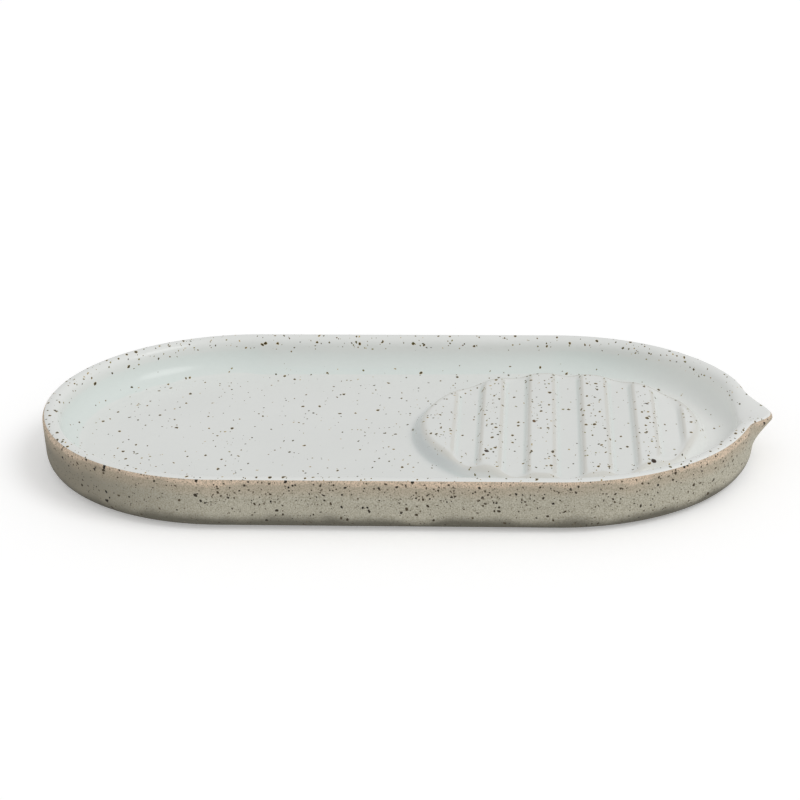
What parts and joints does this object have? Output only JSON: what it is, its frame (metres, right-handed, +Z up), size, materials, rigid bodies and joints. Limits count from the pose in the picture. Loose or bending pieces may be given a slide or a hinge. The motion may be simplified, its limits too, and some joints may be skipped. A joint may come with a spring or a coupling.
{
  "type": "soap dish",
  "caption": "Low oblong stoneware soap tray, glazed inside, with a round ribbed soap rest at one end and a pouring lip on the rim.",
  "frame": {"origin": "under the middle of the whole outline, on the plane that the foot ring stands on", "axes": "+X along the tray to the pouring lip, +Y to the back, +Z up"},
  "size_m": [0.241, 0.13, 0.0177],
  "materials": {
    "raw_stoneware": "matte unglazed stoneware with dark iron specks",
    "white_glaze": "satin white liner glaze with dark iron specks"
  },
  "bodies": {
    "root": {"stoneware_tray": "raw_stoneware", "soap_rest": "raw_stoneware", "liner_glaze": "white_glaze"}
  },
  "joints": []
}
